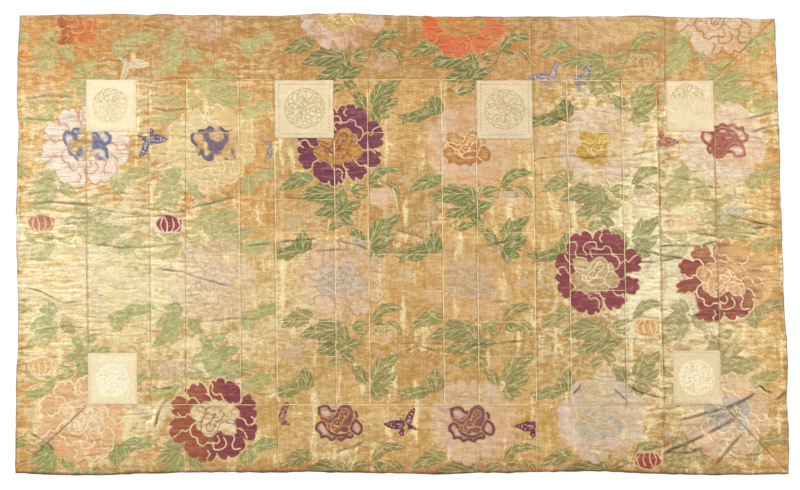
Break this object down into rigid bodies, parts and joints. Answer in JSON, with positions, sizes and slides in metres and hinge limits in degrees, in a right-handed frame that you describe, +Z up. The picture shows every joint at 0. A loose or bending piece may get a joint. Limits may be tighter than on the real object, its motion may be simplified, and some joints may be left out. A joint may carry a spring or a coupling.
{
  "type": "textile wall hanging",
  "caption": "Wide patchwork wall hanging of gold floral brocade, with upright panels and strips, mitred borders and pale square patches, hung by its top edge.",
  "frame": {"origin": "middle of the top edge, on the back of the cloth", "axes": "+X to the right of someone facing the front, +Z up, front facing -Y"},
  "size_m": [1.9869, 0.0225, 1.1938],
  "materials": {
    "column": "gold brocade, satin metallic weft",
    "strip": "gold brocade, satin metallic weft",
    "border": "gold brocade, satin metallic weft",
    "square": "pale silk, matt with low sheen"
  },
  "bodies": {
    "root": {"column_1": "column", "column_2": "column", "column_3": "column", "column_4": "column", "column_5": "column", "column_6": "column", "column_7": "column", "strip_1": "strip", "strip_2": "strip", "strip_3": "strip", "strip_4": "strip", "strip_5": "strip", "strip_6": "strip", "border_top": "border", "border_bottom": "border", "border_left": "border", "border_right": "border", "square_1": "square", "square_2": "square", "square_3": "square", "square_4": "square", "square_5": "square", "square_6": "square"}
  },
  "joints": []
}
